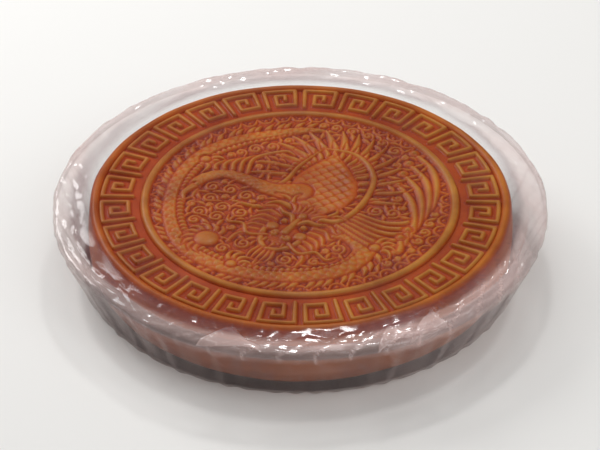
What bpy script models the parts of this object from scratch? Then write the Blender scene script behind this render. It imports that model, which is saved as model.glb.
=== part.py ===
"""A large round mooncake with a pressed crust, in its clear round tray and clear film.

The crust is one stamped solid: a turned body whose top carries a bead at the rim, a band of
square key spirals, an inner bead, and a round picture of a dragon and a phoenix. The tray is a
thin turned dish with a flange, and the film is a thin skin stretched round tray and rim.
Everything is in metres, +Z up, and the origin is the middle of the tray's underside.
"""

import math

import bmesh
import bpy
from mathutils import Vector
from mathutils.geometry import delaunay_2d_cdt

MM = 0.001

# Driving sizes, in millimetres
GAP = 0.3
CAKE_RADIUS = 100.0
CAKE_HEIGHT = 32.0
TRAY_WALL = 0.8
TRAY_FOOT_RADIUS = 102.6
TRAY_RIM_HEIGHT = 31.6
FLANGE_INNER_RADIUS = 107.4
FLANGE_OUTER_RADIUS = 114.0
FLANGE_LIP = 3.0
FILM_WALL = 0.5
FILM_SLACK = 1.1

# The crust, worked out from the driving sizes
CAKE_BOTTOM = TRAY_WALL + GAP
CAKE_TOP = CAKE_BOTTOM + CAKE_HEIGHT
FIELD_DEPTH = 1.9
FIELD = CAKE_TOP - FIELD_DEPTH
RIM_BEAD_RADIUS = 0.964 * CAKE_RADIUS
RIM_BEAD_HALF_WIDTH = 2.4
INNER_BEAD_RADIUS = 0.725 * CAKE_RADIUS
INNER_BEAD_HALF_WIDTH = 2.5
FOOT_RADIUS = 5.0
SIDE_BULGE = 1.2

# The band of key spirals between the beads
KEY_COUNT = 28
KEY_INNER_RADIUS = 0.782 * CAKE_RADIUS
KEY_OUTER_RADIUS = 0.925 * CAKE_RADIUS
KEY_LINE = 2.1
KEY_RISE = 1.5
# A square spiral as (share of its pitch, share of the band's width), from the inner side inwards
KEY_TURNS = [
    (0.12, 0.0), (0.12, 1.0), (0.88, 1.0), (0.88, 0.13), (0.38, 0.13), (0.38, 0.7), (0.62, 0.7), (0.62, 0.44),
]

# How much of its radius a cloud's curl loses as it winds in
CURL_TIGHTENING = 0.62

# Rises of the picture's parts above the field
BODY_RISE = 1.7
LIMB_RISE = 1.3
PLUME_RISE = 1.0

TURNED_SIDES = 56
SKIN_SIDES = 56


# ---------------------------------------------------------------- materials and plain helpers


def principled(name, color, roughness, alpha=1.0):
    """A Principled material with one colour and one roughness."""
    material = bpy.data.materials.new(name)
    material.use_nodes = True
    shader = material.node_tree.nodes["Principled BSDF"]
    shader.inputs["Base Color"].default_value = (*color, 1.0)
    shader.inputs["Roughness"].default_value = roughness
    shader.inputs["Metallic"].default_value = 0.0
    shader.inputs["Alpha"].default_value = alpha
    return material


def finished_object(name, bm, material):
    """Links a bmesh as an object of that name, with its faces pointing out and flat or smooth by angle."""
    bmesh.ops.recalc_face_normals(bm, faces=bm.faces)
    mesh = bpy.data.meshes.new(name)
    bm.to_mesh(mesh)
    bm.free()
    mesh.shade_smooth()
    mesh.set_sharp_from_angle(angle=math.radians(35))
    mesh.materials.append(material)
    thing = bpy.data.objects.new(name, mesh)
    bpy.context.scene.collection.objects.link(thing)
    return thing


def arc(centre, radius, start, end, steps):
    """Points of an arc in the (radius, height) plane; angles in degrees from the outward direction."""
    made = []
    for i in range(steps + 1):
        a = math.radians(start + (end - start) * i / steps)
        made.append((centre[0] + radius * math.cos(a), centre[1] + radius * math.sin(a)))
    return made


def spin_profile(bm, profile, sides, closed):
    """Turns a (radius, height) profile in millimetres about Z, and merges what meets on the axis."""
    verts = [bm.verts.new((r * MM, 0.0, z * MM)) for r, z in profile]
    edges = [bm.edges.new(pair) for pair in zip(verts, verts[1:])]
    if closed:
        edges.append(bm.edges.new((verts[-1], verts[0])))
    bmesh.ops.spin(
        bm, geom=verts + edges, cent=(0, 0, 0), axis=(0, 0, 1), angle=math.tau, steps=sides, use_merge=True
    )
    bmesh.ops.remove_doubles(bm, verts=bm.verts, dist=1e-6)
    bmesh.ops.dissolve_degenerate(bm, edges=bm.edges, dist=1e-6)


# ---------------------------------------------------------------- outlines of the stamped picture


def smooth_line(points, per_span=2):
    """A smooth line through the points, with per_span steps between neighbours."""
    ends = [2 * Vector(points[0]) - Vector(points[1]), 2 * Vector(points[-1]) - Vector(points[-2])]
    knots = [ends[0], *map(Vector, points), ends[1]]
    line = []
    for a, b, c, d in zip(knots, knots[1:], knots[2:], knots[3:]):
        for i in range(per_span):
            t = i / per_span
            bend = (2 * a - 5 * b + 4 * c - d) * t**2
            swing = (3 * b - a - 3 * c + d) * t**3
            line.append(0.5 * (2 * b + (c - a) * t + bend + swing))
    return [*line, Vector(points[-1])]


def spread(values, count):
    """The values read off evenly at count places, with straight runs between them."""
    last = len(values) - 1
    read = []
    for i in range(count):
        place = i * last / (count - 1)
        low, high = values[int(place)], values[min(int(place) + 1, last)]
        read.append(low + (high - low) * (place % 1))
    return read


def ribbon(points, half_widths, per_span=2):
    """The outline of a stroke along the points, as wide as half_widths says from end to end."""
    line = smooth_line(points, per_span)
    widths = spread(half_widths, len(line))
    left, right = [], []
    for i, p in enumerate(line):
        along = (line[min(i + 1, len(line) - 1)] - line[max(i - 1, 0)]).normalized()
        side = Vector((-along.y, along.x)) * widths[i]
        left.append(p + side)
        right.append(p - side)
    if widths[-1] < 0.3:
        right[-1:] = []
        left[-1] = line[-1]
    if widths[0] < 0.3:
        right[:1] = []
        left[0] = line[0]
    return left + right[::-1]


def oval(centre, half_length, half_width, turn=0.0, sides=16):
    """The outline of an oval whose length is turned by that many degrees from X."""
    t = math.radians(turn)
    ends, flanks = Vector((math.cos(t), math.sin(t))), Vector((-math.sin(t), math.cos(t)))
    angles = [math.tau * i / sides for i in range(sides)]
    long_way, short_way = ends * half_length, flanks * half_width
    return [Vector(centre) + long_way * math.cos(a) + short_way * math.sin(a) for a in angles]


def curl(centre, radius, turn, sweep=300, half_width=1.1, sides=8):
    """A cloud's hooked curl: a line that winds in to its centre."""
    points = []
    for i in range(sides):
        share = i / (sides - 1)
        a = math.radians(turn + sweep * share)
        reach = radius * (1 - CURL_TIGHTENING * share)
        points.append((centre[0] + reach * math.cos(a), centre[1] + reach * math.sin(a)))
    return ribbon(points, [0.5, half_width, half_width, 0.8 * half_width], per_span=1)


def heading(start, end):
    """The direction of a run that goes straight across or straight along the band, of length one."""
    return Vector((end[0] - start[0], end[1] - start[1])).normalized()


def key_spiral(index):
    """One square spiral of the key band, bent round the cake."""
    pitch = math.tau / KEY_COUNT
    middle_radius = (KEY_INNER_RADIUS + KEY_OUTER_RADIUS) / 2
    half_turn = KEY_LINE / 2 / (pitch * middle_radius)
    half_band = KEY_LINE / 2 / (KEY_OUTER_RADIUS - KEY_INNER_RADIUS)
    turns = KEY_TURNS
    left, right = [], []
    for i, (u, v) in enumerate(turns):
        before = turns[i - 1] if i else (u, v - 1)
        after = turns[i + 1] if i + 1 < len(turns) else (2 * u - before[0], 2 * v - before[1])
        into = heading(before, (u, v))
        out = heading((u, v), after)
        side = Vector((-into.y, into.x)) + (Vector((-out.y, out.x)) if into != out else Vector((0, 0)))
        left.append((u + side.x * half_turn, v + side.y * half_band))
        right.append((u - side.x * half_turn, v - side.y * half_band))
    outline = []
    corners = left + right[::-1]
    for (u, v), (next_u, next_v) in zip(corners, corners[1:] + corners[:1]):
        pieces = 2 if abs(next_u - u) > 0.4 else 1
        for k in range(pieces):
            share = k / pieces
            a = -(index + u + (next_u - u) * share) * pitch
            r = KEY_INNER_RADIUS + (v + (next_v - v) * share) * (KEY_OUTER_RADIUS - KEY_INNER_RADIUS)
            outline.append(Vector((r * math.cos(a), r * math.sin(a))))
    return outline


# ---------------------------------------------------------------- the dragon and the phoenix

DRAGON_BACK = [
    (20, 61), (4, 63), (-14, 57), (-32, 51), (-47, 41), (-58, 25), (-62.5, 6), (-61, -14),
    (-54, -33), (-40, -48), (-22, -57.5), (0, -61), (20, -56), (31, -43), (26, -31), (12, -25),
]
DRAGON_HALF_WIDTHS = [0.2, 3.0, 5.0, 6.5, 6.8, 6.2, 5.6, 6.0, 7.0, 7.2, 6.8, 6.4, 6.6, 7.0, 7.4, 7.4]
HEAD_CENTRE = (-4.0, -22.0)
HEAD_TURN = -34.0
PEARL_CENTRE = (-39.0, -27.5)
PEARL_RADIUS = 5.4
PHOENIX_BODY = (12.0, 12.0)
PHOENIX_NECK = [(0, 6), (-13, 8), (-25, 16), (-36, 20.5), (-46, 17), (-51, 9)]
PINION_COUNT = 11
CLOUDS = [
    ((-16, 38), 6.0, 200), ((-27, 31), 4.6, 20), ((-2, 49), 4.6, 150),
    ((44, -42), 6.0, 90), ((52, -30), 4.4, 200), ((-43, -8), 4.8, 60),
    ((-28, -40), 4.4, 240), ((8, -46), 4.0, 30), ((36, 55), 4.6, 320),
]


def head_place(x, y):
    """A point of the dragon's face, given across and up the face, in the cake's own plane."""
    t = math.radians(HEAD_TURN)
    return (
        HEAD_CENTRE[0] + x * math.cos(t) - y * math.sin(t),
        HEAD_CENTRE[1] + x * math.sin(t) + y * math.cos(t),
    )


def dragon_outlines():
    """The dragon: its winding body, its full-face head with antlers, whiskers, mane and two clawed feet."""
    made = [(BODY_RISE, ribbon(DRAGON_BACK, DRAGON_HALF_WIDTHS))]
    made.append((BODY_RISE + 0.5, [Vector(head_place(x, y)) for x, y in (
        (0, 12), (8, 10), (12, 4), (11, -3), (7, -8), (8.5, -15), (5, -20), (0, -22),
        (-5, -20), (-8.5, -15), (-7, -8), (-11, -3), (-12, 4), (-8, 10),
    )]))
    for side in (-1, 1):
        antler = [head_place(side * x, y) for x, y in ((5, 9), (9, 15), (15, 18), (22, 17))]
        tine = [head_place(side * x, y) for x, y in ((11, 16), (12, 20), (10, 24))]
        whisker = [head_place(side * x, y) for x, y in ((7, -15), (15, -15), (20, -9), (27, -9))]
        made.append((LIMB_RISE, ribbon(antler, [1.6, 1.5, 1.2, 0.1])))
        made.append((LIMB_RISE, ribbon(tine, [1.2, 0.9, 0.1])))
        made.append((PLUME_RISE, ribbon(whisker, [1.1, 1.1, 0.9, 0.1])))
        for i in range(4):
            root = head_place(side * 11, 7 - 5 * i)
            middle = head_place(side * (16 + i), 9 - 6 * i)
            tip = head_place(side * (21 - i), 6 - 7.5 * i)
            made.append((PLUME_RISE, ribbon([root, middle, tip], [1.7, 1.4, 0.1])))
    for heel, turn in (((-45, 33), -28), ((-31, -50), 62)):
        for spread_angle in (-36, -6, 24):
            a = math.radians(turn + spread_angle)
            toe = (heel[0] + 8 * math.cos(a), heel[1] + 8 * math.sin(a))
            tip = (heel[0] + 11 * math.cos(a - 0.35), heel[1] + 11 * math.sin(a - 0.35))
            made.append((LIMB_RISE, ribbon([heel, toe, tip], [2.0, 1.4, 0.1])))
    return made


def phoenix_outlines():
    """The phoenix: its leaf-shaped body, arched neck, head and beak, crest, wing pinions and tail."""
    made = [(BODY_RISE, oval(PHOENIX_BODY, 29, 20, turn=78, sides=20))]
    made.append((BODY_RISE, ribbon(PHOENIX_NECK, [8.0, 5.2, 4.0, 3.6, 4.0, 3.4])))
    made.append((LIMB_RISE, ribbon([(-50, 10), (-54, 4), (-53, -1)], [2.2, 1.6, 0.1])))
    for i in range(3):
        rise = 6 + 4 * i
        crest = [(-45 + 3 * i, 19), (-41 + 4 * i, 19 + rise), (-33 + 5 * i, 20 + rise)]
        made.append((PLUME_RISE, ribbon(crest, [1.2, 1.3, 0.1])))
    for i in range(PINION_COUNT):
        a = math.radians(118 - 15.5 * i)
        root = (PHOENIX_BODY[0] + 19 * math.cos(a), PHOENIX_BODY[1] + 27 * math.sin(a))
        middle = (root[0] + 9 * math.cos(a - 0.1), root[1] + 9 * math.sin(a - 0.1))
        tip = (root[0] + 17 * math.cos(a - 0.35), root[1] + 17 * math.sin(a - 0.35))
        made.append((LIMB_RISE, ribbon([root, middle, tip], [2.0, 2.3, 0.1])))
    for reach in (0, 1, 2):
        tail = [
            (27 - 3 * reach, -8 - 3 * reach), (43 - reach, -17 - 5 * reach),
            (56 + 0.5 * reach, -13 - 6 * reach), (63 - reach, 2 - 8 * reach),
            (62.5 - 0.5 * reach, 22 - 12 * reach), (54 + reach, 39 - 18 * reach),
        ]
        made.append((PLUME_RISE, ribbon(tail, [1.6, 1.9, 1.9, 1.9, 2.4, 0.1])))
    return made


def picture_outlines():
    """Everything stamped inside the inner bead, as (rise, outline)."""
    made = dragon_outlines() + phoenix_outlines()
    made.append((BODY_RISE, oval(PEARL_CENTRE, PEARL_RADIUS, PEARL_RADIUS)))
    for centre, radius, turn in CLOUDS:
        made.append((PLUME_RISE, curl(centre, radius, turn)))
    return made


# ---------------------------------------------------------------- the stamped crust


def bead_rise(radius):
    """How far the two beads stand above the field at a radius."""
    rise = 0.0
    for middle, half in ((RIM_BEAD_RADIUS, RIM_BEAD_HALF_WIDTH), (INNER_BEAD_RADIUS, INNER_BEAD_HALF_WIDTH)):
        share = min(abs(radius - middle) / half, 1.0)
        rise = max(rise, FIELD_DEPTH * math.cos(share * math.pi / 2))
    return rise


def bead_circles():
    """The radii at which a bead's round section is cut into facets."""
    made = []
    for middle, half in ((RIM_BEAD_RADIUS, RIM_BEAD_HALF_WIDTH), (INNER_BEAD_RADIUS, INNER_BEAD_HALF_WIDTH)):
        made += [middle + half * share for share in (-1, -0.55, 0, 0.55, 1)]
    return made


def anticlockwise(outline):
    """The outline in the direction that the flat cutting takes as solid inside."""
    area = sum(a.cross(b) for a, b in zip(outline, outline[1:] + outline[:1]))
    return outline if area > 0 else outline[::-1]


def ring_points(radius, sides):
    """Points evenly round a circle about the cake's middle."""
    angles = [math.tau * i / sides for i in range(sides)]
    return [Vector((radius * math.cos(a), radius * math.sin(a))) for a in angles]


def stamped_top(bm, edge_radius):
    """The crust's top, cut along every outline, with each figure raised on upright walls.

    The flat cutting gives faces that know which figures cover them. Each takes the rise of the
    highest, and a wall closes every step between neighbours.
    """
    figures = picture_outlines() + [(KEY_RISE, key_spiral(i)) for i in range(KEY_COUNT)]
    rings = [r for r in bead_circles() if r < edge_radius - 0.2] + [edge_radius]
    verts, edges, faces = [], [], []
    for _, outline in figures:
        first = len(verts)
        verts += anticlockwise(outline)
        faces.append(list(range(first, len(verts))))
    for radius in rings:
        first = len(verts)
        verts += ring_points(radius, TURNED_SIDES)
        edges += [(first + i, first + (i + 1) % TURNED_SIDES) for i in range(TURNED_SIDES)]
    flat, _, cells, _, _, owners = delaunay_2d_cdt(verts, edges, faces, 0, 1e-5, True)
    rises = [max((figures[k][0] for k in owner if k < len(figures)), default=0.0) for owner in owners]

    levels, sides_of = {}, {}
    for cell, rise in zip(cells, rises):
        for i, a in enumerate(cell):
            b = cell[(i + 1) % len(cell)]
            levels.setdefault(a, set()).add(rise)
            sides_of.setdefault((min(a, b), max(a, b)), []).append(rise)
    made = {}
    for a, found in levels.items():
        base = FIELD + bead_rise(flat[a].length)
        for rise in found:
            made[a, rise] = bm.verts.new((flat[a].x * MM, flat[a].y * MM, (base + rise) * MM))
    for cell, rise in zip(cells, rises):
        bm.faces.new([made[a, rise] for a in cell])
    for (a, b), found in sides_of.items():
        if len(found) == 2 and found[0] != found[1]:
            low, high = sorted(found)
            up = [made[a, rise] for rise in sorted(levels[a]) if low <= rise <= high]
            down = [made[b, rise] for rise in sorted(levels[b], reverse=True) if low <= rise <= high]
            bm.faces.new(up + down)


def make_mooncake():
    """The baked cake: turned foot and side, and the stamped top, as one solid."""
    edge_radius = RIM_BEAD_RADIUS + RIM_BEAD_HALF_WIDTH
    corner = CAKE_RADIUS - SIDE_BULGE
    profile = [(0.0, CAKE_BOTTOM)]
    profile += arc((corner - FOOT_RADIUS, CAKE_BOTTOM + FOOT_RADIUS), FOOT_RADIUS, -90, 0, 4)
    profile += [(CAKE_RADIUS, CAKE_BOTTOM + 0.5 * CAKE_HEIGHT)]
    profile += [(corner + 0.6, FIELD - 5.0), (corner + 0.3, FIELD - 1.6), (edge_radius, FIELD)]
    bm = bmesh.new()
    spin_profile(bm, profile, TURNED_SIDES, closed=False)
    stamped_top(bm, edge_radius)
    bmesh.ops.remove_doubles(bm, verts=bm.verts, dist=5e-6)
    bmesh.ops.triangulate(bm, faces=bm.faces)
    bmesh.ops.dissolve_degenerate(bm, edges=bm.edges, dist=1e-6)
    return finished_object("mooncake", bm, principled("baked_crust", (0.33, 0.09, 0.027), 0.45))


# ---------------------------------------------------------------- the tray and the film


def make_tray():
    """The clear tray: a flat floor, a sloping wall, and a flange with a turned-down lip."""
    top, lip = TRAY_RIM_HEIGHT, TRAY_RIM_HEIGHT - FLANGE_LIP
    foot, wall = TRAY_FOOT_RADIUS, TRAY_WALL
    inner, outer = FLANGE_INNER_RADIUS, FLANGE_OUTER_RADIUS
    profile = [(0.0, 0.0), (foot - 1.5, 0.0), (foot, 1.2)]
    profile += [(inner, top - wall - 0.6), (inner + 0.6, top - wall), (outer - wall, top - wall)]
    profile += [(outer - wall, lip), (outer, lip), (outer, top - 0.4), (outer - 0.4, top)]
    profile += [(inner + 0.3, top), (inner - wall, top - 0.9)]
    profile += [(foot - wall, 1.6), (foot - 1.5, wall), (0.0, wall)]
    bm = bmesh.new()
    spin_profile(bm, profile, SKIN_SIDES, closed=False)
    return finished_object("tray", bm, principled("clear_tray", (0.85, 0.82, 0.8), 0.12, alpha=0.25))


def make_film():
    """The clear film: up from the tray's foot, round the flange and over on to the crust's rim bead."""
    edge = FLANGE_OUTER_RADIUS + GAP + FILM_SLACK
    over = TRAY_RIM_HEIGHT + GAP + FILM_SLACK
    rest = CAKE_TOP + GAP
    inside = [(TRAY_FOOT_RADIUS + GAP + 0.2, 1.0), (edge - 0.6, TRAY_RIM_HEIGHT - FLANGE_LIP - 1.0)]
    inside += [(edge, TRAY_RIM_HEIGHT - 1.2), (edge - 0.9, over - 0.2), (edge - 2.6, over)]
    inside += [(CAKE_RADIUS + 1.0, rest - 0.35), (RIM_BEAD_RADIUS + 2.2, rest), (RIM_BEAD_RADIUS + 0.2, rest)]
    outside = []
    for i, (r, z) in enumerate(inside):
        before, after = inside[max(i - 1, 0)], inside[min(i + 1, len(inside) - 1)]
        along = Vector((after[0] - before[0], after[1] - before[1])).normalized()
        outside.append((r + along.y * FILM_WALL, z - along.x * FILM_WALL))
    bm = bmesh.new()
    spin_profile(bm, inside + outside[::-1], SKIN_SIDES, closed=True)
    return finished_object("film", bm, principled("clear_film", (0.9, 0.86, 0.84), 0.08, alpha=0.2))


def main():
    """Clears the scene and makes the three pieces."""
    for old in list(bpy.data.objects):
        bpy.data.objects.remove(old)
    make_mooncake()
    make_tray()
    make_film()


main()
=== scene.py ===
"""A large round mooncake with a pressed crust, in its clear tray under clear film.

The crust is three pieces that share one finish: the turned body, the band of square key spirals,
and the round picture of a dragon and a phoenix. The picture is drawn as strokes on an even grid of
heights, each stroke a rounded ridge that stands in its own groove, and the grid is then read off
on a fine disc. Sizes are in millimetres until a mesh is made.
"""

import math

import bpy
import numpy as np
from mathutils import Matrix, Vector


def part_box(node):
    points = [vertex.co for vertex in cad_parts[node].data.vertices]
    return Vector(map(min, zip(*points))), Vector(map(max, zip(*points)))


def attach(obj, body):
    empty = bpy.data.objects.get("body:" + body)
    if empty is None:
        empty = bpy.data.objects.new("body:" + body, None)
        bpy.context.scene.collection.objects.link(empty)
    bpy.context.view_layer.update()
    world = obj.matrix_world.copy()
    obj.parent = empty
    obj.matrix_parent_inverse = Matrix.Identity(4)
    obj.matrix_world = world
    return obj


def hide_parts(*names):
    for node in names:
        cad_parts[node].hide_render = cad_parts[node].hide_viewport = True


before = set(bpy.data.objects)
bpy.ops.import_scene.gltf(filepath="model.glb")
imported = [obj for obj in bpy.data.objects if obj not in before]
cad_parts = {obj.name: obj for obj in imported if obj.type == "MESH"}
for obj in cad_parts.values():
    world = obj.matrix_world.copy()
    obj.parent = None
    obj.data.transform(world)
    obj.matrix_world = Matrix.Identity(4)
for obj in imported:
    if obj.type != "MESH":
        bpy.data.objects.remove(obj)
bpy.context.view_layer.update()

bl_info = {
    "name": "Pressed Mooncake",
    "version": (1, 0, 0),
    "blender": (4, 5, 0),
    "location": "3D View > Sidebar > Mooncake",
    "description": "Builds a pressed mooncake in its clear tray and film round a fixed frame",
    "category": "Object",
}

MM = 0.001

# Places read off the frame, in millimetres
CAKE_LOW, CAKE_HIGH = (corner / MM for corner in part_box("mooncake"))
TRAY_LOW, TRAY_HIGH = (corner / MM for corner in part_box("tray"))
FILM_LOW, FILM_HIGH = (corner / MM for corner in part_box("film"))
CAKE_RADIUS = (CAKE_HIGH.x - CAKE_LOW.x) / 2
TRAY_RADIUS = (TRAY_HIGH.x - TRAY_LOW.x) / 2
FILM_RADIUS = (FILM_HIGH.x - FILM_LOW.x) / 2
HIGHEST_RELIEF = 2.2
# The height of the flat crust that the relief stands on, and how deep the pieces on it reach below it
FIELD = CAKE_HIGH.z - HIGHEST_RELIEF
ROOT_DEPTH = 2.0

# The crust's rings, as radii
BEAD_RISE = 1.9
RIM_BEAD = 0.964 * CAKE_RADIUS
RIM_BEAD_HALF = 2.4
INNER_BEAD = 0.725 * CAKE_RADIUS
INNER_BEAD_HALF = 2.4
BAND_INNER = INNER_BEAD + INNER_BEAD_HALF + 0.6
BAND_OUTER = RIM_BEAD - RIM_BEAD_HALF
KEY_INNER = 0.782 * CAKE_RADIUS
KEY_OUTER = 0.925 * CAKE_RADIUS
KEY_HALF_WIDTH = 1.15
KEY_RISE = 1.5
# A square spiral as shares of its pitch and of the keys' width, from its open end inwards
KEY_TURNS = [
    (0.12, 0.0), (0.12, 1.0), (0.88, 1.0), (0.88, 0.13), (0.38, 0.13), (0.38, 0.7), (0.62, 0.7), (0.62, 0.44),
]

# The tray's section
TRAY_SKIN = 0.4
TRAY_FOOT = 0.9 * TRAY_RADIUS
FLANGE_INNER = TRAY_RADIUS - 6.6
FLANGE_LIP = 3.0

# The walls of the film and of its loose folds, in metres
FILM_WALL = 0.00006
FOLD_WALL = 0.00012

# The picture's grid, the groove round each stroke, and the room inside the inner bead
GRID_PITCH = 0.3
GROOVE = 0.55
FAR_AWAY = 99.0
PICTURE_RADIUS = INNER_BEAD - INNER_BEAD_HALF

# Each lamp's name, place, width and power, in metres and watts
LAMPS = [
    ("key", (-0.7, 0.75, 0.75), 0.6, 8.6),
    ("fill", (0.8, -0.6, 0.9), 0.8, 4.6),
    ("top", (0.1, 0.2, 1.3), 0.7, 3.2),
    ("sparkle", (0.06, 0.62, 1.0), 0.12, 2.4),
]

# Sides of the turned pieces and of the film
TURNED_SIDES = 288
FILM_SIDES = 660


# ---------------------------------------------------------------- settings


class CrustSettings(bpy.types.PropertyGroup):
    key_count: bpy.props.IntProperty(
        name="Key spirals", description="Square spirals round the band", default=28, min=8, max=60
    )
    unevenness: bpy.props.FloatProperty(
        name="Unevenness", description="How far baking lifts and sinks the crust",
        default=0.00022, unit="LENGTH"
    )
    # Painted shade: the colour in the sharpest creases stands for the shadow in them
    line_color: bpy.props.FloatVectorProperty(
        name="Line", description="Crust colour in the sharpest creases",
        subtype="COLOR", default=(0.17, 0.014, 0.001)
    )
    # Painted shade: the grooves are darker than the crust to stand for the shade down in them
    groove_shade_color: bpy.props.FloatVectorProperty(
        name="Groove", description="Crust colour down in the grooves",
        subtype="COLOR", default=(0.29, 0.033, 0.002)
    )
    crust_color: bpy.props.FloatVectorProperty(
        name="Crust", description="Crust colour half way up",
        subtype="COLOR", default=(0.37, 0.072, 0.004)
    )
    # Painted highlight: the ridges are lighter and tanner to stand for the light and gloss on them
    ridge_highlight_color: bpy.props.FloatVectorProperty(
        name="Ridge", description="Crust colour on the ridges",
        subtype="COLOR", default=(0.37, 0.135, 0.024)
    )


class PackSettings(bpy.types.PropertyGroup):
    film_color: bpy.props.FloatVectorProperty(
        name="Film", description="Colour of the film's haze", subtype="COLOR", default=(0.82, 0.6, 0.56)
    )
    # Painted shade: the film's colour close beside the crust stands for the crust's shade and reflection in
    # it
    painted_shade_color: bpy.props.FloatVectorProperty(
        name="Shade", description="Colour of the film close beside the crust",
        subtype="COLOR", default=(0.3, 0.13, 0.13)
    )
    tray_color: bpy.props.FloatVectorProperty(
        name="Tray", description="Colour of the tray's haze", subtype="COLOR", default=(0.78, 0.7, 0.72)
    )
    wrinkle: bpy.props.FloatProperty(
        name="Wrinkle", description="Height of the film's wrinkles", default=0.0005, unit="LENGTH"
    )


class StageSettings(bpy.types.PropertyGroup):
    elevation: bpy.props.FloatProperty(
        name="Elevation", description="How far the camera looks down",
        default=math.radians(36.2), unit="ROTATION"
    )
    distance: bpy.props.FloatProperty(
        name="Distance", description="From the camera to the cake", default=1.09, unit="LENGTH"
    )
    lens: bpy.props.FloatProperty(
        name="Lens", description="Focal length in millimetres", default=139.0
    )


# ---------------------------------------------------------------- lines and patterns


def smooth_line(points, per_span=6):
    """A smooth line through the points, as an array, by a curve that passes through each of them."""
    knots = np.array(points, float)
    knots = np.vstack([2 * knots[0] - knots[1], knots, 2 * knots[-1] - knots[-2]])
    t = (np.arange(per_span) / per_span)[:, None]
    made = []
    for a, b, c, d in zip(knots, knots[1:], knots[2:], knots[3:]):
        bend = (2 * a - 5 * b + 4 * c - d) * t**2
        swing = (3 * b - a - 3 * c + d) * t**3
        made.append(0.5 * (2 * b + (c - a) * t + bend + swing))
    return np.vstack([*made, knots[-2:-1]])


def spiral(centre, radius, start, turns, steps=18):
    """Points of a curl that winds in from its start, in degrees, nearly to its centre."""
    share = np.linspace(0, 1, steps)
    angle = math.radians(start) + math.tau * turns * share
    wound_in = 0.85
    reach = radius * (1 - wound_in * share)
    return np.stack([centre[0] + reach * np.cos(angle), centre[1] + reach * np.sin(angle)], 1)


def plain(along, across, half):
    """No pattern."""
    return 0.0


def scales(pitch, depth=0.9, toward=1):
    """Overlapping round scales in staggered rows, each rising to a free edge that drops to the next."""
    radius = 0.53

    def pattern(along, across, half):
        u, v = toward * along / pitch, across / pitch
        front = np.full(u.shape, np.inf)
        lift = np.zeros(u.shape)
        for shift in (0.0, 0.5):
            middle = np.round(v - shift) + shift
            for back in (0, 1, 2):
                centre = np.floor(u - shift) + shift + 1 - back
                off = np.hypot(u - centre, v - middle) / radius
                on_top = (off < 1) & (centre < front)
                raised = np.clip((u - centre) / (2 * radius) + 0.5, 0, 1) ** 1.3
                lift = np.where(on_top, raised * (1 - off**10), lift)
                front = np.where(on_top, centre, front)
        return depth * (lift - 0.45)
    return pattern


def barbs(pitch, depth=0.32):
    """A feather: a quill down the middle and slanting barbs on both sides."""
    quill_half, quill_rise = 0.4, 0.35

    def pattern(along, across, half):
        slant = depth * np.sin(math.tau * (along - 1.1 * np.abs(across)) / pitch)
        quill = quill_rise * np.exp(-((across / quill_half) ** 2))
        return slant * np.clip(np.abs(across) / 0.6, 0, 1) + quill
    return pattern


def strands(count, depth=0.35):
    """Long grooves that run with the stroke, as in hair or a streaming tail."""
    def pattern(along, across, half):
        return depth * np.cos(math.pi * count * across / np.maximum(half, 0.1)) - 0.5 * depth
    return pattern


def plates(pitch, depth=0.35):
    """Grooves straight across a stroke."""
    def pattern(along, across, half):
        return depth * np.cos(math.tau * along / pitch)
    return pattern


# ---------------------------------------------------------------- heights drawn by strokes


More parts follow.
